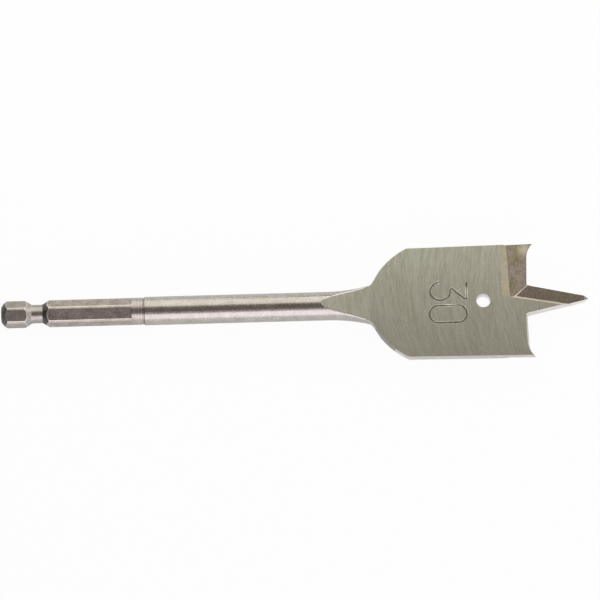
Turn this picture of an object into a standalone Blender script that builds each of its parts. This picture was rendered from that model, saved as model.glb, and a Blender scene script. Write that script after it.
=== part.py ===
"""Spade drill bit for wood, 30 mm wide, with a quarter-inch hex shank, forged and ground from one steel bar.

The bar is turned, its tail gets six flats, its far end is spread and pressed flat, and the blade is ground to
two cutting edges, two spurs and a centre point. The tool's axis is +X, from the centre of the shank's end to
the tip. The bit lies on its round shaft with the blade level.
"""

import math

import bmesh
import bpy
from mathutils import Matrix, Vector

MM = 0.001

# Shank: the hexagon, its snap-in groove and its rounded end
HEX_ACROSS_FLATS = 6.35 * MM
HEX_ACROSS_CORNERS = 7.04 * MM
HEX_TURN = math.radians(20.5)
TAIL_FACE_DIAMETER = 3.8 * MM
TAIL_ROUND_LENGTH = 1.6 * MM
TAIL_ROUND_RADIUS = 3.3 * MM
HEAD_LENGTH = 4.6 * MM
GROOVE_DIAMETER = 4.8 * MM
GROOVE_FLOOR_LENGTH = 2.75 * MM
GROOVE_SHOULDER_LENGTH = 1.75 * MM
GROOVE_FILLET = 1.2 * MM
HEX_LENGTH = 21.05 * MM
HEX_SHOULDER_ANGLE = math.radians(40)

# Neck and round shaft
NECK_LENGTH = 2.8 * MM
TURNED_LINE_WIDTH = 0.5 * MM
TURNED_LINE_WALL = 0.1 * MM
TURNED_LINE_BEVEL = 0.2 * MM
TURNED_LINE_DEPTH = 0.12 * MM
SHAFT_DIAMETER = 7.4 * MM
SHAFT_LENGTH = 45.7 * MM

# Flare: the round bar is pressed flat and spreads sideways
PRESSED_LENGTH = 12.7 * MM
SPREAD_DELAY = 1.6 * MM
SPREAD_RADIUS = 44.0 * MM

# Blade
BLADE_WIDTH = 30.0 * MM
BLADE_THICKNESS = 3.0 * MM
BACK_TAPER = 0.4 * MM
ROOT_GAP = 0.38 * MM
ROOT_FILLET = 5.0 * MM
ROOT_BURY = 3.2 * MM
BAR_OVERLAP = 2.3 * MM
SHOULDER_LENGTH = 9.52 * MM
SHOULDER_RADIUS = 20.0 * MM
SIDE_LENGTH = 30.95 * MM
HOLE_DIAMETER = 3.5 * MM
HOLE_TO_EDGE = 11.4 * MM

# Spurs and cutting edges
SPUR_HEIGHT = 1.75 * MM
SPUR_WIDTH = 3.6 * MM
EDGE_SLOPE = math.radians(1.5)
EDGE_HEIGHT = 0.7 * MM
END_RELIEF = math.radians(12)

# Hollows ground in front of the cutting edges
HOLLOW_LENGTH = 6.5 * MM
HOLLOW_DEPTH = 1.15 * MM
HOLLOW_WALL_ANGLE = math.radians(29)
HOOK_ANGLE = math.radians(3)
HOLLOW_TILT = math.radians(1.3)
HOLLOW_TO_AXIS = 0.85 * MM

# Centre point
POINT_LENGTH = 15.95 * MM
POINT_BASE_WIDTH = 7.65 * MM
POINT_FILLET = 0.7 * MM
POINT_TIP_LENGTH = 1.2 * MM
POINT_TIP_WIDTH = 1.2 * MM
POINT_TIP_LAND = 0.2 * MM
POINT_RELIEF = math.radians(5)
FACET_SETBACK = 3.6 * MM
FACET_DEPTH = 0.6 * MM
FACET_WALL_ANGLE = math.radians(50)
FACET_RAKE = math.radians(6.5)
FACET_SKEW = math.radians(10.3)
FACET_LINE_SHIFT = 0.15 * MM
FACET_RUN_IN = 1.5 * MM

# Shares of the flare's half width at which the blade's plate starts inside it and comes out of it
BURIED_SHARE = 0.8
ROOT_SHARE = 0.92

# How finely curves are divided, and how many of the shoulder's pieces the root fillet takes up
SIDES = 64
ARC_PIECES = 16
ROOT_FILLET_PIECES = 5
FILLET_PIECES = 7
TAIL_ROUND_PIECES = 8
SPREAD_PIECES = 16
SMOOTH_ANGLE = math.radians(20)

# Shares of its two lines that a fillet may take up
FILLET_SHARE_BEFORE = 0.9
FILLET_SHARE_AFTER = 0.45

# How close points on the axis must be to become one
MERGE_DISTANCE = 0.01 * MM

# How far cutters stand proud of what they cut
SPARE = 2.0 * MM

# Stations along the axis, each from the one before it
HEAD_START = TAIL_ROUND_LENGTH
HEAD_END = HEAD_START + HEAD_LENGTH
GROOVE_START = HEAD_END + GROOVE_SHOULDER_LENGTH
GROOVE_END = GROOVE_START + GROOVE_FLOOR_LENGTH
HEX_START = GROOVE_END + GROOVE_SHOULDER_LENGTH
HEX_END = HEX_START + HEX_LENGTH
CORNER_RISE = (HEX_ACROSS_CORNERS - HEX_ACROSS_FLATS) / 2
NECK_START = HEX_END + CORNER_RISE / math.tan(HEX_SHOULDER_ANGLE)
NECK_END = NECK_START + NECK_LENGTH
SHAFT_START = NECK_END + TURNED_LINE_WIDTH
SHAFT_END = SHAFT_START + SHAFT_LENGTH
PRESSED_END = SHAFT_END + PRESSED_LENGTH
BLADE_ROOT = PRESSED_END + ROOT_GAP
SHOULDER_END = BLADE_ROOT + SHOULDER_LENGTH
EDGE = SHOULDER_END + SIDE_LENGTH
TIP = EDGE + POINT_LENGTH

# Half sizes
HEX_RADIUS = HEX_ACROSS_CORNERS / 2
SHAFT_RADIUS = SHAFT_DIAMETER / 2
HALF_THICKNESS = BLADE_THICKNESS / 2
HALF_WIDTH = BLADE_WIDTH / 2


def arc(start, end, radius, pieces):
    """Points of a circle's arc from start to end, both included, that bulges to the left of the way it goes."""
    start, end = Vector(start), Vector(end)
    chord = end - start
    half = chord.length / 2
    left = Vector((-chord.y, chord.x)).normalized()
    centre = (start + end) / 2 - left * math.sqrt(max(radius * radius - half * half, 0.0))
    turn = 2 * math.asin(min(half / radius, 1.0))
    spoke = start - centre
    return [tuple(centre + Matrix.Rotation(-turn * i / pieces, 2) @ spoke) for i in range(pieces + 1)]


def filleted(before, corner, after, radius):
    """Points of a fillet that rounds the corner between two straight lines."""
    before, corner, after = Vector(before), Vector(corner), Vector(after)
    back = (before - corner).normalized()
    on = (after - corner).normalized()
    half = back.angle(on) / 2
    reach = min(
        radius / math.tan(half),
        FILLET_SHARE_BEFORE * (before - corner).length,
        FILLET_SHARE_AFTER * (after - corner).length,
    )
    radius = reach * math.tan(half)
    centre = corner + (back + on).normalized() * (radius / math.sin(half))
    first, last = corner + back * reach - centre, corner + on * reach - centre
    turn = first.angle_signed(last)
    return [
        tuple(centre + Matrix.Rotation(-turn * i / FILLET_PIECES, 2) @ first)
        for i in range(FILLET_PIECES + 1)
    ]


def shaft_half_width(x):
    """Half the width of the bar: round up to the flare, then spreading along an arc."""
    spread = max(x - SHAFT_END - SPREAD_DELAY, 0.0)
    return SHAFT_RADIUS + SPREAD_RADIUS - math.sqrt(SPREAD_RADIUS**2 - min(spread, SPREAD_RADIUS) ** 2)


def bar_outline():
    """Distance and radius along the turned bar, from the centre of its tail to the centre of its far end."""
    bar_end = BLADE_ROOT + BAR_OVERLAP
    floor = GROOVE_DIAMETER / 2
    step = (bar_end - SHAFT_END) / SPREAD_PIECES
    flare = [(SHAFT_END + step * i, SHAFT_RADIUS) for i in range(SPREAD_PIECES + 1)]
    return [
        (0.0, 0.0),
        *arc((0.0, TAIL_FACE_DIAMETER / 2), (HEAD_START, HEX_RADIUS), TAIL_ROUND_RADIUS, TAIL_ROUND_PIECES),
        (HEAD_END, HEX_RADIUS),
        *filleted((HEAD_END, HEX_RADIUS), (GROOVE_START, floor), (GROOVE_END, floor), GROOVE_FILLET),
        *reversed(
            filleted((HEX_START, HEX_RADIUS), (GROOVE_END, floor), (GROOVE_START, floor), GROOVE_FILLET)
        ),
        (HEX_START, HEX_RADIUS),
        (NECK_END, HEX_RADIUS),
        (NECK_END + TURNED_LINE_WALL, HEX_RADIUS - TURNED_LINE_DEPTH),
        (SHAFT_START - TURNED_LINE_BEVEL, HEX_RADIUS - TURNED_LINE_DEPTH),
        (SHAFT_START, SHAFT_RADIUS),
        *flare,
        (bar_end, 0.0),
    ]


def taper(x):
    """Half the blade's width at a distance along its sides."""
    return HALF_WIDTH - BACK_TAPER * (EDGE + SPUR_HEIGHT - x) / (EDGE + SPUR_HEIGHT - SHOULDER_END)


def side_outline(behind):
    """One side of the blade, from its root to the tip's shoulder, at a depth behind its cutting edges.

    The cutting end leans back towards the shank by the relief, so that only its edges touch the wood.
    """
    end_shift = behind * math.tan(END_RELIEF)
    point_shift = behind * math.tan(POINT_RELIEF)
    edge = EDGE - end_shift
    half_base = POINT_BASE_WIDTH / 2
    narrowing = (half_base - POINT_TIP_WIDTH / 2) / (POINT_LENGTH - POINT_TIP_LENGTH)
    sloping = math.tan(EDGE_SLOPE)
    base_shift = (end_shift * narrowing - point_shift) / (1 + sloping * narrowing)
    base = (edge + base_shift * sloping, half_base + base_shift)
    shoulder_tip = (TIP - POINT_TIP_LENGTH, POINT_TIP_WIDTH / 2 - point_shift)
    spur = (edge + SPUR_HEIGHT, taper(edge + SPUR_HEIGHT))
    spur_foot = (edge + (spur[1] - SPUR_WIDTH - half_base) * sloping, spur[1] - SPUR_WIDTH)
    spur_lean = math.atan2(spur[0] - spur_foot[0], SPUR_WIDTH) - EDGE_SLOPE
    spur_radius = math.dist(spur_foot, spur) / 2 / math.sin(spur_lean)
    buried_x = BLADE_ROOT - ROOT_BURY
    buried = (buried_x, shaft_half_width(buried_x) * BURIED_SHARE)
    root = (BLADE_ROOT, shaft_half_width(BLADE_ROOT) * ROOT_SHARE)
    shoulder = arc(root, (SHOULDER_END, taper(SHOULDER_END)), SHOULDER_RADIUS, ARC_PIECES)
    return [
        buried,
        *filleted(buried, root, shoulder[ROOT_FILLET_PIECES], ROOT_FILLET),
        *shoulder[ROOT_FILLET_PIECES:],
        *reversed(arc(spur_foot, spur, spur_radius, ARC_PIECES)),
        *filleted(spur_foot, base, shoulder_tip, POINT_FILLET),
        shoulder_tip,
    ]


def blade_section(z):
    """The blade's whole outline at a height above its middle plane, the two sides a half turn apart."""
    upper = side_outline(EDGE_HEIGHT - z)
    lower = side_outline(EDGE_HEIGHT + z)
    tip = (TIP, z * math.tan(POINT_RELIEF))
    outline = upper + [tip] + [(x, -y) for x, y in reversed(lower)]
    return [Vector((x, y, z)) for x, y in outline]


def rake_height(x, y):
    """Height of the hollow's long face, which climbs to the cutting edge and deepens towards the axis."""
    low_x = EDGE - HOLLOW_LENGTH + HOLLOW_DEPTH / math.tan(HOLLOW_WALL_ANGLE)
    climb = (x - low_x) * math.tan(HOOK_ANGLE)
    return HALF_THICKNESS - HOLLOW_DEPTH + climb + (y - HOLLOW_TO_AXIS) * math.tan(HOLLOW_TILT)


def crease_x(y):
    """Where the hollow's steep wall meets its long face."""
    drop = HALF_THICKNESS - rake_height(EDGE - HOLLOW_LENGTH, y)
    return EDGE - HOLLOW_LENGTH + drop / (math.tan(HOLLOW_WALL_ANGLE) + math.tan(HOOK_ANGLE))


def facet_lines():
    """A point at the foot of the facet's wall, the way the wall runs and the way from it to the flank."""
    wallward = Vector((math.cos(FACET_SKEW), -math.sin(FACET_SKEW)))
    flankward = Vector((math.sin(FACET_SKEW), math.cos(FACET_SKEW)))
    wall_top = Vector((EDGE - FACET_SETBACK, HOLLOW_TO_AXIS - FACET_LINE_SHIFT))
    return wall_top + flankward * FACET_DEPTH / math.tan(FACET_WALL_ANGLE), wallward, flankward


def facet_height(x, y):
    """Height of the centre point's rake facet, which climbs from its wall to the flank's cutting edge."""
    foot, _, flankward = facet_lines()
    climb = (Vector((x, y)) - foot).dot(flankward) * math.tan(FACET_RAKE)
    return HALF_THICKNESS - FACET_DEPTH + climb


def new_object(name, build, collection):
    """A mesh object whose shape is made in an empty bmesh by a function."""
    form = bmesh.new()
    build(form)
    bmesh.ops.triangulate(form, faces=form.faces)
    bmesh.ops.recalc_face_normals(form, faces=form.faces)
    mesh = bpy.data.meshes.new(name)
    form.to_mesh(mesh)
    form.free()
    obj = bpy.data.objects.new(name, mesh)
    collection.objects.link(obj)
    return obj


def loft(form, sections):
    """A closed solid through sections that have the same number of points."""
    loops = [[form.verts.new(point) for point in section] for section in sections]
    form.faces.new(loops[0])
    form.faces.new(reversed(loops[-1]))
    for near, far in zip(loops, loops[1:]):
        for i in range(len(near)):
            form.faces.new((near[i], near[i - 1], far[i - 1], far[i]))


def prism(form, outline, way):
    """A flat outline extruded along a vector."""
    face = form.faces.new([form.verts.new(point) for point in outline])
    grown = bmesh.ops.extrude_face_region(form, geom=[face])["geom"]
    bmesh.ops.translate(form, verts=[v for v in grown if isinstance(v, bmesh.types.BMVert)], vec=way)


def turned_bar(collection):
    """The bar as turned, then spread sideways by the forging."""
    outline = bar_outline()
    mesh = bpy.data.meshes.new("bar_outline")
    points = [(radius, 0.0, x) for x, radius in reversed(outline)]
    mesh.from_pydata(points, [(i, i + 1) for i in range(len(points) - 1)], [])
    guide = bpy.data.objects.new("bar_outline", mesh)
    collection.objects.link(guide)
    screw = guide.modifiers.new("turn", "SCREW")
    screw.axis = "Z"
    screw.steps = screw.render_steps = SIDES
    screw.use_merge_vertices = True
    screw.merge_threshold = MERGE_DISTANCE
    bpy.context.view_layer.update()
    evaluated = guide.evaluated_get(bpy.context.evaluated_depsgraph_get())
    bar_mesh = bpy.data.meshes.new_from_object(evaluated)
    bar_mesh.name = "spade_bit"
    bpy.data.objects.remove(guide)
    bar_mesh.transform(Matrix.Rotation(math.pi / SIDES, 4, "X") @ Matrix.Rotation(math.pi / 2, 4, "Y"))
    form = bmesh.new()
    form.from_mesh(bar_mesh)
    for vertex in form.verts:
        vertex.co.y *= shaft_half_width(vertex.co.x) / SHAFT_RADIUS
    bmesh.ops.triangulate(form, faces=form.faces)
    form.to_mesh(bar_mesh)
    form.free()
    bar_mesh.shade_smooth()
    bar_mesh.set_sharp_from_angle(angle=SMOOTH_ANGLE)
    bar = bpy.data.objects.new("spade_bit", bar_mesh)
    collection.objects.link(bar)
    return bar


def blade_plate(collection):
    """The blade's outline through more than its thickness, with the relief of its cutting end."""
    top = HALF_THICKNESS + SPARE / 2

    def build(form):
        loft(form, [blade_section(top), blade_section(-top)])

    return new_object("blade_plate", build, collection)


def flats_cutter(collection):
    """What is milled away round the hexagon, ending in a conical shoulder before the neck."""
    reach = HEX_RADIUS + SPARE

    def build(form):
        lift = Matrix.Translation((0.0, 0.0, HEX_END / 2))
        turned = Matrix.Rotation(math.pi / 2, 4, "Y")
        bmesh.ops.create_cone(
            form,
            cap_ends=True,
            segments=SIDES,
            radius1=reach,
            radius2=reach,
            depth=HEX_END + 2 * SPARE,
            matrix=turned @ lift,
        )

    return new_object("flats_cutter", build, collection)


def hexagon(collection):
    """The hexagon that stays inside the milled flats, ending in a cone that meets the neck."""
    flat = HEX_ACROSS_FLATS / 2
    corner = flat / math.cos(math.pi / 6)

    def build(form):
        turned = Matrix.Rotation(math.pi / 2, 4, "Y")
        spin = Matrix.Rotation(HEX_TURN, 4, "X")
        lift = Matrix.Translation((0.0, 0.0, HEX_END / 2))
        bmesh.ops.create_cone(
            form,
            cap_ends=True,
            segments=6,
            radius1=corner,
            radius2=corner,
            depth=HEX_END + 4 * SPARE,
            matrix=spin @ turned @ lift,
        )

    return new_object("hexagon", build, collection)


def shoulder_cone(collection):
    """The cone in which the flats run out, wide towards the neck."""
    wide = HEX_RADIUS + 2 * SPARE
    length = wide / math.tan(HEX_SHOULDER_ANGLE)
    start = HEX_END - HEX_ACROSS_FLATS / 2 / math.tan(HEX_SHOULDER_ANGLE)

    def build(form):
        turned = Matrix.Rotation(math.pi / 2, 4, "Y")
        lift = Matrix.Translation((0.0, 0.0, start + length / 2))
        bmesh.ops.create_cone(
            form,
            cap_ends=True,
            segments=SIDES,
            radius1=0.0,
            radius2=wide,
            depth=length,
            matrix=turned @ lift,
        )

    return new_object("shoulder_cone", build, collection)


def press_die(collection):
    """What the press and the grinder take off one face, from the flare's start to the tip."""
    slope = (SHAFT_RADIUS - HALF_THICKNESS) / PRESSED_LENGTH
    top = SHAFT_RADIUS + SPARE
    start = SHAFT_END - SPARE / slope
    end = TIP + SPARE
    side = HALF_WIDTH + SPARE
    profile = [(start, top), (PRESSED_END, HALF_THICKNESS), (end, HALF_THICKNESS), (end, top)]

    def build(form):
        prism(form, [Vector((x, -side, z)) for x, z in profile], Vector((0.0, 2 * side, 0.0)))

    return new_object("press_die", build, collection)


def hole_cutter(collection):
    """The round hole on the axis, through the blade."""

    def build(form):
        bmesh.ops.create_cone(
            form,
            cap_ends=True,
            segments=SIDES,
            radius1=HOLE_DIAMETER / 2,
            radius2=HOLE_DIAMETER / 2,
            depth=BLADE_THICKNESS + 2 * SPARE,
            matrix=Matrix.Translation((EDGE - HOLE_TO_EDGE, 0.0, 0.0)),
        )

    return new_object("hole_cutter", build, collection)


def hollow_cutter(collection):
    """The hollow in front of one cutting edge: a steep wall, a crease and a long face up to the edge."""
    top = HALF_THICKNESS + SPARE
    outer = HALF_WIDTH + SPARE
    wall_top = EDGE - HOLLOW_LENGTH - SPARE / 2 / math.tan(HOLLOW_WALL_ANGLE)
    knee = EDGE - FACET_SETBACK
    beyond = EDGE + SPUR_HEIGHT + SPARE
    lean = (POINT_BASE_WIDTH / 2 - HOLLOW_TO_AXIS) / FACET_SETBACK
    inner_beyond = HOLLOW_TO_AXIS + (beyond - knee) * lean

    def section(inner_x, inner_y, inner_z, outer_x, outer_z):
        return [
            Vector((inner_x, inner_y, inner_z)),
            Vector((outer_x, outer, outer_z)),
            Vector((outer_x, outer, top)),
            Vector((inner_x, inner_y, top)),
        ]

    def build(form):
        crease_in, crease_out = crease_x(HOLLOW_TO_AXIS), crease_x(outer)
        low_in, low_out = rake_height(crease_in, HOLLOW_TO_AXIS), rake_height(crease_out, outer)
        wall_z = HALF_THICKNESS + SPARE / 2
        loft(
            form,
            [
                section(wall_top, HOLLOW_TO_AXIS, wall_z, wall_top, wall_z),
                section(crease_in, HOLLOW_TO_AXIS, low_in, crease_out, low_out),
                section(knee, HOLLOW_TO_AXIS, rake_height(knee, HOLLOW_TO_AXIS), knee, rake_height(knee, outer)),
                section(
                    beyond,
                    inner_beyond,
                    rake_height(beyond, inner_beyond),
                    beyond,
                    rake_height(beyond, outer),
                ),
            ],
        )

    return new_object("hollow_cutter", build, collection)


def facet_cutter(collection):
    """The rake facet of the centre point: a wall across the face and a flat that climbs to one flank."""
    foot, wallward, flankward = facet_lines()
    ridge = Vector((FACET_SETBACK, POINT_BASE_WIDTH / 2 - HOLLOW_TO_AXIS)).normalized()
    start = foot - wallward * FACET_RUN_IN
    reach = POINT_LENGTH + FACET_SETBACK + 2 * SPARE
    top = HALF_THICKNESS + 2 * SPARE
    wall_run = (top - HALF_THICKNESS + FACET_DEPTH) / math.tan(FACET_WALL_ANGLE)

    def build(form):
        ends = [start, start + reach * wallward, start + reach * ridge]
        shifts = [wall_run, wall_run, 0.0]
        low = [Vector((p.x, p.y, facet_height(p.x, p.y))) for p in ends]
        high = [(p - flankward * shift).to_3d() + Vector((0.0, 0.0, top)) for p, shift in zip(ends, shifts)]
        loft(form, [low, high])

    return new_object("facet_cutter", build, collection)


def tip_cutter(collection):
    """The steeper bevel that brings the last of the centre point to its tip."""
    start = TIP - POINT_TIP_LENGTH
    start_z = facet_height(start, 0.0)
    land = POINT_TIP_LAND / 2
    slope = (start_z - land) / POINT_TIP_LENGTH
    side = POINT_BASE_WIDTH
    top = HALF_THICKNESS + SPARE
    before = start - (top - start_z) / slope
    beyond = TIP + SPARE / 4
    profile = [(before, top), (beyond, land + (TIP - beyond) * slope), (beyond, top)]

    def build(form):
        prism(form, [Vector((x, -side, z)) for x, z in profile], Vector((0.0, 2 * side, 0.0)))

    return new_object("tip_cutter", build, collection)


def half_turn_copy(obj, collection):
    """The same cutter on the other face, a half turn round the axis."""
    twin = bpy.data.objects.new(obj.name + "_back", obj.data)
    twin.rotation_euler.x = math.pi
    collection.objects.link(twin)
    return twin


def boolean(obj, operation, other):
    modifier = obj.modifiers.new(other.name, "BOOLEAN")
    modifier.operation = operation
    modifier.solver = "EXACT"
    modifier.object = other


def steel():
    """Ground tool steel with a warm grey tone."""
    material = bpy.data.materials.new("ground_steel")
    material.use_nodes = True
    shader = material.node_tree.nodes["Principled BSDF"]
    shader.inputs["Base Color"].default_value = (0.36, 0.34, 0.29, 1.0)
    shader.inputs["Metallic"].default_value = 1.0
    shader.inputs["Roughness"].default_value = 0.38
    return material


def new_collection(name):
    collection = bpy.data.collections.new(name)
    bpy.context.scene.collection.children.link(collection)
    return collection


def main():
    for old in list(bpy.data.objects):
        bpy.data.objects.remove(old)
    bit_parts = new_collection("spade_bit")
    cutters = new_collection("cutters")
    bar = turned_bar(bit_parts)
    bar.data.materials.append(steel())
    flats = flats_cutter(cutters)
    boolean(flats, "DIFFERENCE", hexagon(cutters))
    boolean(flats, "DIFFERENCE", shoulder_cone(cutters))
    boolean(bar, "DIFFERENCE", flats)
    boolean(bar, "UNION", blade_plate(cutters))
    for make in (press_die, hollow_cutter, facet_cutter, tip_cutter):
        cutter = make(cutters)
        boolean(bar, "DIFFERENCE", cutter)
        boolean(bar, "DIFFERENCE", half_turn_copy(cutter, cutters))
    boolean(bar, "DIFFERENCE", hole_cutter(cutters))

    for helper in cutters.objects:
        helper.hide_render = True
        helper.display_type = "WIRE"
    bpy.context.view_layer.update()


main()
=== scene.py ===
import math

import bmesh
import bpy
from mathutils import Matrix, Vector


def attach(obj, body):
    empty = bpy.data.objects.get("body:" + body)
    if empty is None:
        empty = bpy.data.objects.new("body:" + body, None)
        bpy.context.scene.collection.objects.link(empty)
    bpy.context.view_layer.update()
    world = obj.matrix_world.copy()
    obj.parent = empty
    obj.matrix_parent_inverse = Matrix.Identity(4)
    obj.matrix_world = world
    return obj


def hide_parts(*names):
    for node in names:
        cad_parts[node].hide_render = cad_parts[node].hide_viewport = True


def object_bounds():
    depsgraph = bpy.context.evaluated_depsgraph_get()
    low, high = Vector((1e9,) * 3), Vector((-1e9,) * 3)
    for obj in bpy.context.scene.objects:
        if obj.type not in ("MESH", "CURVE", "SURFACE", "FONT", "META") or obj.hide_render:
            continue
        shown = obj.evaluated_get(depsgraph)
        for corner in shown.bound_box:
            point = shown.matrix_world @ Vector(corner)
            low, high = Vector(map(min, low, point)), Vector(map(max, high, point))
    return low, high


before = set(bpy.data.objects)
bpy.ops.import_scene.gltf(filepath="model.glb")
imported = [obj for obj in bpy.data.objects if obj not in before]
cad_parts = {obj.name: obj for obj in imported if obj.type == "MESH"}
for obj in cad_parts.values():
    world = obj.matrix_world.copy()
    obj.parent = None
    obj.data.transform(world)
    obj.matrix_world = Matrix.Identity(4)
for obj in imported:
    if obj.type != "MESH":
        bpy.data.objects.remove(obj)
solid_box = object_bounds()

MM = 0.001

# Stations along the axis
TAIL_ROUND_END = 1.6 * MM
HEAD_END = 6.2 * MM
HEX_START = 12.45 * MM
HEX_END = 33.91 * MM
TURNED = (33.0 * MM, 38.0 * MM)
NECK_END = 37.21 * MM
BLADE_FACE_START = 97.0 * MM
# The blade's sides up to here are coloured with painted shade
SHOULDER_SHADE_END = 101.7 * MM
HOLE = 125.06 * MM
KEEN_START = 128.0 * MM
TIP_START = 151.1 * MM

# How far the hole's wall, the point's flanks and the groove's floor reach from their axis
HOLE_REACH = 2.0 * MM
POINT_REACH = 5.0 * MM
GROOVE_REACH = 3.0 * MM

# How far a face's normal leans along the axis for the tail, a cone, the hollow's wall, the press and the rake
TAIL_LEAN = 0.2
CONE_LEAN = 0.3
WALL_LEAN = 0.4
PRESS_LEAN = 0.16
RAKE_LEAN = 0.04

# How squarely a face looks up or down: the blade's flats, the pressed flats, a bevel and an upright side
LEVEL = 0.999
NEARLY_LEVEL = 0.97
BEVELLED = 0.75
UPRIGHT = 0.35

# Where the grinding arcs turn, across the blade
ARC_MIDDLE = 4.0 * MM

# A painted highlight: a bright spot on the rake face, beside the spur
HIGHLIGHT_SPOT = (136.2 * MM, 13.6 * MM)

# The ridge between the wing's hollow and the centre point's facet, from the axis out to the cutting edge
RIDGE_START = (132.86 * MM, 0.85 * MM)
RIDGE_END = (136.46 * MM, 3.83 * MM)

# How close points become one, and how nearly level faces become one
MERGE_DISTANCE = 0.02 * MM
MERGE_ANGLE = math.radians(0.6)

# Bevel widths: edges broken by tumbling, the flare's rim, the wide ridge, worn edges round the hollows and
# keen ones; the bevels' colour is painted light, a painted highlight on most and painted shade on the worn
# ones
BEVELS = {
    "blunt": 0.09 * MM,
    "rim": 0.16 * MM,
    "ridge": 0.28 * MM,
    "worn_and_shaded": 0.12 * MM,
    "keen": 0.035 * MM,
}
BEVEL_ANGLE = math.radians(22)
RIDGE_REACH = 0.1 * MM
RIDGE_LOWEST = 0.75 * MM
RIDGE_UPRIGHT = 0.9

# Edges sharper than this stay sharp, and these finishes are shaded flat
SHARP_ANGLE = math.radians(8)
FLAT_FINISHES = ("head", "hexagon", "wall", "rake", "facet")

# The size mark's place on the blade's face, and its stroke
MARK_LEFT = 5.5 * MM
MARK_FOOT = 110.95 * MM
MARK_STROKE = 0.34 * MM
MARK_RELIEF = 0.012 * MM
LIP_STROKE = 0.8 * MM
LIP_RELIEF = 0.004 * MM
MARK_MERGE_DISTANCE = 0.001 * MM

# Height of the blade's face, and how nearly a face has to lie there
FACE_HEIGHT = 1.5 * MM
FACE_HEIGHT_SLACK = 0.05 * MM

# Grain of the brushed and of the frosted steel, and of the stain and the painted shade on worn edges
GRAIN_DEPTH = 0.01 * MM
PLAIN_STRETCH = (400.0, 400.0)
GRAIN_SCALE = 2800.0
PATCH_SCALE = 420.0
RING_SCALE = 2200.0
STAIN_AND_SHADE_SCALE = 520.0
DEPTH_STRETCH = 900.0
BLOTCH_SIZE = 0.22

# The painted highlight fades out from its inner to its outer radius
HIGHLIGHT_INNER = 0.4 * MM
HIGHLIGHT_OUTER = 2.2 * MM
HIGHLIGHT_STRENGTH = 1.8

# Soft panels: the side they stand on, the angles they cover, distance, width, level and colour
LIT_MIDDLE = (0.085, 0.0, 0.0)
PANELS = {
    "far_panel": ((0.0, 1.0), (19.5, 84.0), 0.36, 1.0, 1.15, (1.0, 0.99, 0.92)),
    "near_panel": ((0.0, -1.0), (41.0, 88.5), 0.6, 1.3, 1.55, (0.97, 0.92, 0.99)),
    "tip_panel": ((1.0, 0.0), (38.0, 82.0), 0.7, 0.8, 0.8, (1.0, 0.97, 0.93)),
}
ROOM = (0.155, 0.135, 0.118)

# The floor: its size, how far it lies under the bit, and how much of it glows for the eye and for reflections
FLOOR_SIZE = 4.0
FLOOR_MIDDLE = 0.076
FLOOR_GAP = 0.02 * MM
FLOOR_GLOW_SEEN = 0.96
FLOOR_GLOW_MIRRORED = 0.5

# The camera: its distance and height above the table, how far the bit rises to the right, and the view's
# width and middle
EYE_DISTANCE = 1.2
EYE_ELEVATION = math.radians(74.8)
BIT_RISE = math.radians(1.566)
VIEW_WIDTH = 155.73 * MM
VIEW_MIDDLE = 77.5 * MM
VIEW_LIFT = 1.79 * MM


def steel_form(node):
    """A merged copy of the solid with its flat faces whole."""
    form = bmesh.new()
    form.from_mesh(node.data)
    bmesh.ops.remove_doubles(form, verts=form.verts, dist=MERGE_DISTANCE)
    bmesh.ops.dissolve_limit(form, angle_limit=MERGE_ANGLE, verts=form.verts, edges=form.edges)
    return form


def off_ridge(place):
    """How far a place on either face lies from that face's ridge, or nothing when it is past its ends."""
    side = 1.0 if place.z > 0 else -1.0
    start, end = Vector(RIDGE_START), Vector(RIDGE_END)
    run = (end - start).normalized()
    out = Vector((place.x, place.y * side)) - start
    if not 0.0 < out.dot(run) < (end - start).length:
        return None
    return abs(out.x * run.y - out.y * run.x)


def break_edges(form, names):
    """Bevels the sharp edges, each kind by its own width, and gives the bevels their finish."""
    kinds = {kind: [] for kind in BEVELS}
    for edge in form.edges:
        if len(edge.link_faces) != 2 or edge.calc_face_angle() < BEVEL_ANGLE:
            continue
        middle = (edge.verts[0].co + edge.verts[1].co) / 2
        off = off_ridge(middle)
        upper = max(abs(face.normal.z) for face in edge.link_faces) > RIDGE_UPRIGHT
        beside = {names[face.material_index] for face in edge.link_faces}
        if off is not None and off < RIDGE_REACH and upper and abs(middle.z) > RIDGE_LOWEST:
            kinds["ridge"].append(edge)
        # Convex edges round the hollows: worn bevels, coloured with painted shade
        elif edge.is_convex and beside & {"side", "flank"} and beside & {"rake", "facet", "wall"}:
            kinds["worn_and_shaded"].append(edge)
        elif beside == {"shaft", "blade"}:
            kinds["rim"].append(edge)
        elif middle.x > KEEN_START:
            kinds["keen"].append(edge)
        elif middle.x > TAIL_ROUND_END and not TURNED[0] < middle.x < TURNED[1]:
            kinds["blunt"].append(edge)
    for kind, width in BEVELS.items():
        made = bmesh.ops.bevel(
            form,
            geom=[edge for edge in kinds[kind] if edge.is_valid],
            offset=width,
            offset_type="OFFSET",
            segments=2,
            profile=0.5,
            affect="EDGES",
            clamp_overlap=False,
            material=-1,
        )
        # Worn bevels take painted shade, all others the edge finish's painted highlight
        for face in made["faces"]:
            face.material_index = names.index("worn_and_shaded" if kind == "worn_and_shaded" else "edge")


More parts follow.
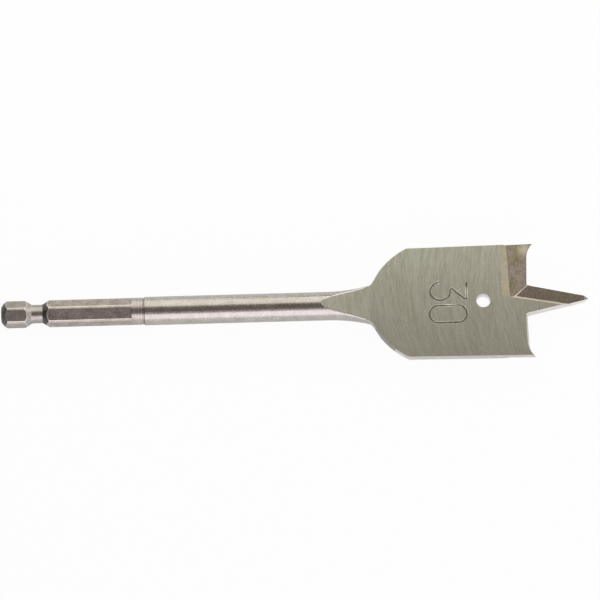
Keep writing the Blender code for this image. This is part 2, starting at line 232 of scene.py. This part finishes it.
def finish_of(face):
    """Which finish a face of the bit has, from its place and the way it faces."""
    middle = face.calc_center_median()
    way = face.normal
    front = abs(way.z)
    around = math.hypot(middle.y, middle.z)
    # Faces turned towards the tail, here and on the cones below, take the tail finish: painted shade
    if middle.x < TAIL_ROUND_END and way.x < -TAIL_LEAN:
        return "tail"
    if middle.x < HEX_END:
        if HEAD_END < middle.x < HEX_START and (abs(way.x) > CONE_LEAN or around < GROOVE_REACH):
            return "tail" if way.x < -CONE_LEAN else "groove"
        if middle.x < HEAD_END:
            return "head"
        # The hexagon's end towards the blade takes the edge finish: a ring of painted highlight
        return "edge" if middle.x > HEX_START and way.x > CONE_LEAN else "hexagon"
    if middle.x < NECK_END:
        return "tail" if way.x < -CONE_LEAN else "neck"
    if front > LEVEL and abs(abs(middle.z) - FACE_HEIGHT) < FACE_HEIGHT_SLACK:
        return "blade"
    if middle.x < BLADE_FACE_START:
        return "blade" if abs(way.x) > PRESS_LEAN and front > NEARLY_LEVEL else "shaft"
    if front < UPRIGHT:
        if math.hypot(middle.x - HOLE, middle.y) < HOLE_REACH:
            return "bore"
        if middle.x < SHOULDER_SHADE_END:
            return "shoulder"
        return "flank" if middle.x > RIDGE_END[0] and abs(middle.y) < POINT_REACH else "side"
    if middle.x > TIP_START:
        return "shaft"
    if abs(way.x) > WALL_LEAN and middle.x < RIDGE_END[0]:
        return "wall"
    if front < BEVELLED:
        return "edge"
    return "rake" if way.x < -RAKE_LEAN else "facet"


def grinding_group():
    """Fine scratches along one direction, with soft blotches under them."""
    group = bpy.data.node_groups.new("grinding", "ShaderNodeTree")
    group.interface.new_socket("Place", in_out="INPUT", socket_type="NodeSocketVector")
    group.interface.new_socket("Blotch Size", in_out="INPUT", socket_type="NodeSocketFloat")
    group.interface.new_socket("Lines", in_out="OUTPUT", socket_type="NodeSocketFloat")
    group.interface.new_socket("Blotches", in_out="OUTPUT", socket_type="NodeSocketFloat")
    nodes, links = group.nodes, group.links
    given = nodes.new("NodeGroupInput")
    lines = nodes.new("ShaderNodeTexNoise")
    lines.inputs["Scale"].default_value = 1.0
    lines.inputs["Detail"].default_value = 5.0
    lines.inputs["Roughness"].default_value = 0.65
    links.new(given.outputs["Place"], lines.inputs["Vector"])
    blotches = nodes.new("ShaderNodeTexNoise")
    blotches.inputs["Detail"].default_value = 3.0
    links.new(given.outputs["Place"], blotches.inputs["Vector"])
    links.new(given.outputs["Blotch Size"], blotches.inputs["Scale"])
    result = nodes.new("NodeGroupOutput")
    links.new(lines.outputs["Fac"], result.inputs["Lines"])
    links.new(blotches.outputs["Fac"], result.inputs["Blotches"])
    return group


def speckle_group():
    """The frosty grain of tumbled steel."""
    group = bpy.data.node_groups.new("frost", "ShaderNodeTree")
    group.interface.new_socket("Place", in_out="INPUT", socket_type="NodeSocketVector")
    group.interface.new_socket("Grain", in_out="OUTPUT", socket_type="NodeSocketFloat")
    group.interface.new_socket("Patches", in_out="OUTPUT", socket_type="NodeSocketFloat")
    nodes, links = group.nodes, group.links
    given = nodes.new("NodeGroupInput")
    grain = nodes.new("ShaderNodeTexNoise")
    grain.inputs["Scale"].default_value = GRAIN_SCALE
    grain.inputs["Detail"].default_value = 4.0
    grain.inputs["Roughness"].default_value = 0.7
    links.new(given.outputs["Place"], grain.inputs["Vector"])
    patches = nodes.new("ShaderNodeTexNoise")
    patches.inputs["Scale"].default_value = PATCH_SCALE
    patches.inputs["Detail"].default_value = 3.0
    links.new(given.outputs["Place"], patches.inputs["Vector"])
    result = nodes.new("NodeGroupOutput")
    links.new(grain.outputs["Fac"], result.inputs["Grain"])
    links.new(patches.outputs["Fac"], result.inputs["Patches"])
    return group


def node_maths(nodes, links, operation, first, second):
    """The outcome of one sum on two values or sockets."""
    node = nodes.new("ShaderNodeMath")
    node.operation = operation
    for socket, value in zip(node.inputs, (first, second)):
        if isinstance(value, (int, float)):
            socket.default_value = value
        else:
            links.new(value, socket)
    return node.outputs[0]


def new_steel(name):
    """A steel material and its shader, with the bit's own coordinates."""
    material = bpy.data.materials.new(name)
    material.use_nodes = True
    nodes, links = material.node_tree.nodes, material.node_tree.links
    shader = nodes["Principled BSDF"]
    shader.inputs["Metallic"].default_value = 1.0
    place = nodes.new("ShaderNodeTexCoord")
    return material, nodes, links, shader, place.outputs["Object"]


def between(nodes, links, factor, low, high, dark, light):
    """Two colours mixed by a value, from low to high."""
    ramp = nodes.new("ShaderNodeValToRGB")
    ramp.color_ramp.elements[0].position = low
    ramp.color_ramp.elements[0].color = (*dark, 1.0)
    ramp.color_ramp.elements[1].position = high
    ramp.color_ramp.elements[1].color = (*light, 1.0)
    links.new(factor, ramp.inputs["Fac"])
    return ramp.outputs["Color"]


def rough_range(nodes, links, factor, low, high):
    """A roughness that goes from low to high with the middle of a noise's range."""
    spread = nodes.new("ShaderNodeMapRange")
    spread.inputs["From Min"].default_value = 0.3
    spread.inputs["From Max"].default_value = 0.7
    spread.inputs["To Min"].default_value = low
    spread.inputs["To Max"].default_value = high
    links.new(factor, spread.inputs["Value"])
    return spread.outputs["Result"]


def tinted(nodes, links, colour, factor, first, second):
    """A colour washed with a tint that drifts from one hue to another."""
    wash = nodes.new("ShaderNodeMix")
    wash.data_type = "RGBA"
    wash.blend_type = "MULTIPLY"
    wash.clamp_factor = True
    wash.inputs[0].default_value = 1.0
    links.new(colour, wash.inputs[6])
    links.new(between(nodes, links, factor, 0.4, 0.6, first, second), wash.inputs[7])
    return wash.outputs[2]


def spot_highlight(nodes, links, colour, along, across, grain, spot, bright):
    """A painted highlight: a colour that turns bright round one spot, unevenly."""
    away = nodes.new("ShaderNodeVectorMath")
    away.operation = "DISTANCE"
    join = nodes.new("ShaderNodeCombineXYZ")
    links.new(along, join.inputs["X"])
    links.new(node_maths(nodes, links, "ABSOLUTE", across, 0.0), join.inputs["Y"])
    links.new(join.outputs["Vector"], away.inputs[0])
    away.inputs[1].default_value = (*spot, 0.0)
    near = nodes.new("ShaderNodeMapRange")
    near.inputs["From Min"].default_value = HIGHLIGHT_OUTER
    near.inputs["From Max"].default_value = HIGHLIGHT_INNER
    near.inputs["To Max"].default_value = HIGHLIGHT_STRENGTH
    links.new(away.outputs["Value"], near.inputs["Value"])
    wash = nodes.new("ShaderNodeMix")
    wash.data_type = "RGBA"
    links.new(node_maths(nodes, links, "MULTIPLY", near.outputs["Result"], grain), wash.inputs[0])
    links.new(colour, wash.inputs[6])
    wash.inputs[7].default_value = (*bright, 1.0)
    return wash.outputs[2]


def bump(nodes, links, shader, height, distance, strength):
    """A fine relief on a shader."""
    node = nodes.new("ShaderNodeBump")
    node.inputs["Distance"].default_value = distance
    node.inputs["Strength"].default_value = strength
    links.new(height, node.inputs["Height"])
    links.new(node.outputs["Normal"], shader.inputs["Normal"])


def ground_steel(name, dark, light, rough, arch, stretch, depth, grinding, tints=None, spot=None):
    """Steel with grinding lines across the blade, arched by a wheel."""
    material, nodes, links, shader, own = new_steel(name)
    split = nodes.new("ShaderNodeSeparateXYZ")
    links.new(own, split.inputs["Vector"])
    across = split.outputs["Y"]
    off = node_maths(nodes, links, "SUBTRACT", across, ARC_MIDDLE)
    bend = node_maths(nodes, links, "MULTIPLY", off, off)
    bend = node_maths(nodes, links, "MULTIPLY", bend, arch)
    along = node_maths(nodes, links, "SUBTRACT", split.outputs["X"], bend)
    join = nodes.new("ShaderNodeCombineXYZ")
    links.new(node_maths(nodes, links, "MULTIPLY", along, stretch[0]), join.inputs["X"])
    links.new(node_maths(nodes, links, "MULTIPLY", across, stretch[1]), join.inputs["Y"])
    links.new(node_maths(nodes, links, "MULTIPLY", split.outputs["Z"], DEPTH_STRETCH), join.inputs["Z"])
    marks = nodes.new("ShaderNodeGroup")
    marks.node_tree = grinding
    marks.inputs["Blotch Size"].default_value = BLOTCH_SIZE
    links.new(join.outputs["Vector"], marks.inputs["Place"])
    tone = node_maths(nodes, links, "MULTIPLY", marks.outputs["Lines"], 0.75)
    tone = node_maths(
        nodes, links, "ADD", tone,
        node_maths(nodes, links, "MULTIPLY", marks.outputs["Blotches"], 0.25),
    )
    colour = between(nodes, links, tone, 0.38, 0.62, dark, light)
    if tints:
        colour = tinted(nodes, links, colour, marks.outputs["Blotches"], *tints)
    if spot:
        colour = spot_highlight(nodes, links, colour, split.outputs["X"], across, marks.outputs["Lines"], *spot)
    links.new(colour, shader.inputs["Base Color"])
    links.new(
        rough_range(nodes, links, marks.outputs["Lines"], rough + 0.06, rough - 0.04),
        shader.inputs["Roughness"],
    )
    bump(nodes, links, shader, marks.outputs["Lines"], depth, 0.6)
    return material


def tumbled_steel(name, dark, light, rough, frost, depth=GRAIN_DEPTH, rings=0.0):
    """Steel with a fine frosty grain, and turned rings where it was turned."""
    material, nodes, links, shader, own = new_steel(name)
    grains = nodes.new("ShaderNodeGroup")
    grains.node_tree = frost
    links.new(own, grains.inputs["Place"])
    tone = node_maths(nodes, links, "MULTIPLY", grains.outputs["Grain"], 0.7)
    tone = node_maths(
        nodes, links, "ADD", tone,
        node_maths(nodes, links, "MULTIPLY", grains.outputs["Patches"], 0.3),
    )
    if rings:
        split = nodes.new("ShaderNodeSeparateXYZ")
        line = nodes.new("ShaderNodeTexNoise")
        join = nodes.new("ShaderNodeCombineXYZ")
        links.new(own, split.inputs["Vector"])
        links.new(split.outputs["X"], join.inputs["X"])
        links.new(join.outputs["Vector"], line.inputs["Vector"])
        line.inputs["Scale"].default_value = RING_SCALE
        tone = node_maths(nodes, links, "MULTIPLY", tone, 1.0 - rings)
        tone = node_maths(
            nodes, links, "ADD", tone, node_maths(nodes, links, "MULTIPLY", line.outputs["Fac"], rings)
        )
    links.new(between(nodes, links, tone, 0.4, 0.6, dark, light), shader.inputs["Base Color"])
    links.new(
        rough_range(nodes, links, grains.outputs["Grain"], rough - 0.05, rough + 0.05),
        shader.inputs["Roughness"],
    )
    bump(nodes, links, shader, grains.outputs["Grain"], depth, 0.5)
    return material


def oval(centre, radii, start, sweep, pieces):
    """Points along part of an oval, turning clockwise from a start angle, in degrees."""
    turns = [math.radians(start - sweep * i / pieces) for i in range(pieces + 1)]
    return [(centre[0] + radii[0] * math.cos(t), centre[1] + radii[1] * math.sin(t)) for t in turns]


def mark_paths():
    """Strokes of the size number, from its lower left corner: right, then up, in millimetres."""
    three = [(0.5, 9.8), (4.9, 9.85), (4.84, 9.3), (4.1, 8.37), (2.98, 7.04), (2.4, 6.5), (2.14, 6.1)]
    three += [(2.2, 5.75), (2.6, 5.57)] + oval((2.75, 3.0), (2.42, 2.6), 75, 255, 18)
    top = oval((8.86, 7.6), (2.3, 2.15), 180, 180, 12)
    foot = oval((8.86, 2.35), (2.3, 2.25), 0, 180, 12)
    zero = top + foot + top[:1]
    return [three, zero]


def mark_strokes(form, width, relief, slot):
    """The number's strokes as flat ridges on the blade's face, added to a form."""
    curve = bpy.data.curves.new("size_mark", "CURVE")
    curve.dimensions = "3D"
    curve.twist_mode = "Z_UP"
    curve.bevel_depth = width / 2
    curve.bevel_resolution = 2
    curve.use_fill_caps = True
    for path in mark_paths():
        spline = curve.splines.new("POLY")
        spline.points.add(len(path) - 1)
        for point, (right, up) in zip(spline.points, path):
            point.co = (MARK_FOOT + up * MM, MARK_LEFT - right * MM, 0.0, 1.0)
    strokes = bpy.data.objects.new("size_mark_strokes", curve)
    bpy.context.scene.collection.objects.link(strokes)
    bpy.context.view_layer.update()
    ready = strokes.evaluated_get(bpy.context.evaluated_depsgraph_get())
    mesh = bpy.data.meshes.new_from_object(ready)
    bpy.data.objects.remove(strokes)
    flatten = Matrix.Diagonal((1.0, 1.0, 2 * relief / width, 1.0))
    lift = Matrix.Translation((0.0, 0.0, FACE_HEIGHT))
    mesh.transform(lift @ flatten)
    for face in mesh.polygons:
        face.material_index = slot
    form.from_mesh(mesh)


def size_mark(stroke_material, lip_material):
    """The number etched on the blade's face: dark strokes between faint raised lips, whose lighter colour is
    a painted highlight.
    """
    form = bmesh.new()
    mark_strokes(form, MARK_STROKE, MARK_RELIEF, 0)
    mark_strokes(form, LIP_STROKE, LIP_RELIEF, 1)
    bmesh.ops.remove_doubles(form, verts=form.verts, dist=MARK_MERGE_DISTANCE)
    bmesh.ops.recalc_face_normals(form, faces=form.faces)
    mesh = bpy.data.meshes.new("size_mark")
    form.to_mesh(mesh)
    form.free()
    mesh.materials.append(stroke_material)
    mesh.materials.append(lip_material)
    mark = bpy.data.objects.new("size_mark", mesh)
    bpy.context.scene.collection.objects.link(mark)
    return mark


def stain_and_shade_steel(name, dark, light, metallic):
    """Steel under an uneven dark brown colour: the etched mark's stain, and painted shade along the worn
    edges.
    """
    material, nodes, links, shader, own = new_steel(name)
    shader.inputs["Metallic"].default_value = metallic
    noise = nodes.new("ShaderNodeTexNoise")
    noise.inputs["Scale"].default_value = STAIN_AND_SHADE_SCALE
    noise.inputs["Detail"].default_value = 4.0
    links.new(own, noise.inputs["Vector"])
    colour = between(nodes, links, noise.outputs["Fac"], 0.36, 0.62, dark, light)
    links.new(colour, shader.inputs["Base Color"])
    links.new(rough_range(nodes, links, noise.outputs["Fac"], 0.5, 0.7), shader.inputs["Roughness"])
    return material


def steel_finishes(frost):
    """The finish of each kind of face: its material, from dark to light colour and roughness."""
    grinding = grinding_group()

    def tumbled(name, dark, light, rough, rings=0.0):
        return tumbled_steel(name, dark, light, rough, frost, rings=rings)

    def plain(name, dark, light, rough, depth=GRAIN_DEPTH):
        return ground_steel(name, dark, light, rough, 0.0, PLAIN_STRETCH, depth, grinding)

    return {
        # Bevels, chamfers and the hexagon's end: real edges whose light colour is a painted highlight
        "edge": tumbled("broken_edges_painted_highlight", (0.72, 0.68, 0.65), (0.86, 0.83, 0.8), 0.4),
        # Worn edges round the hollows: near-black painted shade
        "worn_and_shaded": stain_and_shade_steel("worn_edges_painted_shade", (0.02, 0.017, 0.014), (0.06, 0.05, 0.04), 0.2),
        # Faces turned towards the tail: near-black painted shade
        "tail": tumbled("tail_end_painted_shade", (0.08, 0.073, 0.07), (0.17, 0.157, 0.15), 0.42),
        "head": tumbled("head_flats", (0.33, 0.3, 0.27), (0.53, 0.49, 0.45), 0.34),
        "hexagon": tumbled("hex_flats", (0.32, 0.28, 0.245), (0.62, 0.555, 0.505), 0.34),
        "groove": tumbled("snap_groove", (0.37, 0.345, 0.325), (0.51, 0.48, 0.455), 0.34),
        "neck": tumbled("neck", (0.38, 0.355, 0.33), (0.64, 0.6, 0.565), 0.32, rings=0.5),
        "shaft": tumbled("round_shaft", (0.44, 0.415, 0.385), (0.62, 0.59, 0.555), 0.28),
        "blade": ground_steel(
            "ground_blade",
            (0.47, 0.465, 0.415),
            (0.73, 0.73, 0.65),
            rough=0.29,
            arch=9.0,
            stretch=(3900.0, 340.0),
            depth=0.008 * MM,
            grinding=grinding,
            tints=((1.0, 0.985, 0.93), (0.975, 0.985, 0.965)),
        ),
        "side": plain("blade_sides", (0.64, 0.62, 0.58), (0.78, 0.76, 0.72), 0.42),
        # The sides near the blade's root: painted shade, darker than the other sides
        "shoulder": plain("shoulder_sides_painted_shade", (0.27, 0.26, 0.25), (0.38, 0.37, 0.36), 0.42),
        # The point's flanks: a painted highlight, brighter than the other sides
        "flank": plain("point_flanks_painted_highlight", (0.84, 0.82, 0.79), (0.95, 0.94, 0.92), 0.35),
        # The hole's wall: near-white smooth steel, painted light so that the hole shows white
        "bore": plain("hole_wall_painted_light", (0.95, 0.95, 0.94), (0.98, 0.98, 0.97), 0.12, 0.001 * MM),
        "wall": ground_steel(
            "hollow_wall",
            (0.36, 0.325, 0.245),
            (0.46, 0.42, 0.32),
            rough=0.42,
            arch=0.0,
            stretch=(500.0, 2600.0),
            depth=GRAIN_DEPTH,
            grinding=grinding,
        ),
        "rake": ground_steel(
            "hollow_rake",
            (0.36, 0.33, 0.3),
            (0.72, 0.67, 0.6),
            rough=0.3,
            arch=0.0,
            stretch=(1300.0, 800.0),
            depth=0.012 * MM,
            grinding=grinding,
            tints=((0.92, 0.9, 0.68), (0.98, 0.87, 0.9)),
            # A painted highlight beside the spur
            spot=(HIGHLIGHT_SPOT, (0.98, 0.9, 0.7)),
        ),
        "facet": ground_steel(
            "point_facets",
            (0.38, 0.34, 0.3),
            (0.7, 0.64, 0.57),
            rough=0.32,
            arch=0.0,
            stretch=(2200.0, 1500.0),
            depth=0.012 * MM,
            grinding=grinding,
            tints=((1.0, 0.93, 0.88), (0.94, 0.93, 0.86)),
        ),
    }


def bit_piece(node, finishes):
    """The whole bit with broken edges and a finish for each kind of face."""
    names = list(finishes)
    form = steel_form(node)
    for face in form.faces:
        face.material_index = names.index(finish_of(face))
    break_edges(form, names)
    mesh = bpy.data.meshes.new("spade_bit_ground")
    form.to_mesh(mesh)
    form.free()
    for material in finishes.values():
        mesh.materials.append(material)
    mesh.shade_smooth()
    mesh.set_sharp_from_angle(angle=SHARP_ANGLE)
    for face in mesh.polygons:
        if names[face.material_index] in FLAT_FINISHES:
            face.use_smooth = False
    piece = bpy.data.objects.new("spade_bit_ground", mesh)
    bpy.context.scene.collection.objects.link(piece)
    return piece


def softbox(name, facing, from_top, distance, width, level, colour):
    """A soft light panel that covers a range of angles from straight above, towards one side of the bit."""
    low, high = math.radians(from_top[0]), math.radians(from_top[1])
    tilt, spread = (low + high) / 2, (high - low) / 2
    way = Vector((*facing, 0.0)).normalized() * math.sin(tilt) + Vector((0.0, 0.0, math.cos(tilt)))
    lamp = bpy.data.lights.new(name, "AREA")
    lamp.shape = "RECTANGLE"
    lamp.size, lamp.size_y = width, 2 * distance * math.tan(spread)
    lamp.energy = level * math.pi * lamp.size * lamp.size_y
    lamp.color = colour
    obj = bpy.data.objects.new(name, lamp)
    bpy.context.scene.collection.objects.link(obj)
    obj.location = Vector(LIT_MIDDLE) + way * distance
    obj.rotation_euler = (-way).to_track_quat("-Z", "Y").to_euler()


def plain_floor():
    """White paper that shows white to the camera and keeps the bit's shadow."""
    height = solid_box[0][2] - FLOOR_GAP
    bpy.ops.mesh.primitive_plane_add(size=FLOOR_SIZE, location=(FLOOR_MIDDLE, 0.0, height))
    floor = bpy.context.object
    floor.name = "floor"
    paper = bpy.data.materials.new("white_paper")
    paper.use_nodes = True
    nodes, links = paper.node_tree.nodes, paper.node_tree.links
    shader = nodes["Principled BSDF"]
    shader.inputs["Base Color"].default_value = (0.9, 0.9, 0.9, 1.0)
    shader.inputs["Roughness"].default_value = 0.9
    shader.inputs["Specular IOR Level"].default_value = 0.0
    path = nodes.new("ShaderNodeLightPath")
    glow = nodes.new("ShaderNodeEmission")
    mix = nodes.new("ShaderNodeMixShader")
    seen = node_maths(nodes, links, "MULTIPLY", path.outputs["Is Camera Ray"], FLOOR_GLOW_SEEN)
    mirrored = node_maths(nodes, links, "MULTIPLY", path.outputs["Is Glossy Ray"], FLOOR_GLOW_MIRRORED)
    links.new(node_maths(nodes, links, "ADD", seen, mirrored), mix.inputs["Fac"])
    links.new(shader.outputs["BSDF"], mix.inputs[1])
    links.new(glow.outputs["Emission"], mix.inputs[2])
    links.new(mix.outputs["Shader"], nodes["Material Output"].inputs["Surface"])
    floor.data.materials.append(paper)
    return floor


def room():
    """A dim warm room above the table, white where the camera looks past the floor."""
    world = bpy.data.worlds.new("room")
    bpy.context.scene.world = world
    world.use_nodes = True
    nodes, links = world.node_tree.nodes, world.node_tree.links
    walls = nodes["Background"]
    walls.inputs["Color"].default_value = (*ROOM, 1.0)
    white = nodes.new("ShaderNodeBackground")
    white.inputs["Color"].default_value = (1.0, 1.0, 1.0, 1.0)
    path = nodes.new("ShaderNodeLightPath")
    mix = nodes.new("ShaderNodeMixShader")
    links.new(path.outputs["Is Camera Ray"], mix.inputs["Fac"])
    links.new(walls.outputs["Background"], mix.inputs[1])
    links.new(white.outputs["Background"], mix.inputs[2])
    links.new(mix.outputs["Shader"], nodes["World Output"].inputs["Surface"])


def camera():
    """Almost straight down through a long lens, tipped a little towards the near side."""
    right = Vector((1.0, 0.0, 0.0))
    up = Vector((0.0, math.sin(EYE_ELEVATION), math.cos(EYE_ELEVATION)))
    away = right.cross(up)
    turned_right = right * math.cos(BIT_RISE) - up * math.sin(BIT_RISE)
    turned_up = up * math.cos(BIT_RISE) + right * math.sin(BIT_RISE)
    target = Vector((VIEW_MIDDLE, 0.0, 0.0)) + turned_up * VIEW_LIFT
    lens = bpy.data.cameras.new("camera")
    lens.sensor_width = 36.0
    lens.lens = lens.sensor_width * EYE_DISTANCE / VIEW_WIDTH
    lens.clip_start = 0.01
    eye = bpy.data.objects.new("camera", lens)
    turn = Matrix((turned_right, turned_up, away)).transposed().to_4x4()
    eye.matrix_world = Matrix.Translation(target + away * EYE_DISTANCE) @ turn
    bpy.context.scene.collection.objects.link(eye)
    bpy.context.scene.camera = eye


steel_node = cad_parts["spade_bit"]
frost = speckle_group()
bit = bit_piece(steel_node, steel_finishes(frost))
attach(bit, "root")
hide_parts("spade_bit")
# The lips' lighter colour is a painted highlight along the etched strokes
lips = tumbled_steel("mark_lips_painted_highlight", (0.54, 0.525, 0.46), (0.76, 0.745, 0.66), 0.29, frost, depth=0.008 * MM)
burn = stain_and_shade_steel("etched_mark", (0.04, 0.03, 0.025), (0.17, 0.14, 0.11), 0.6)
mark = size_mark(burn, lips)
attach(mark, "root")
plain_floor()
room()
for name, panel in PANELS.items():
    softbox(name, *panel)
camera()
bpy.context.scene.view_settings.view_transform = "Standard"
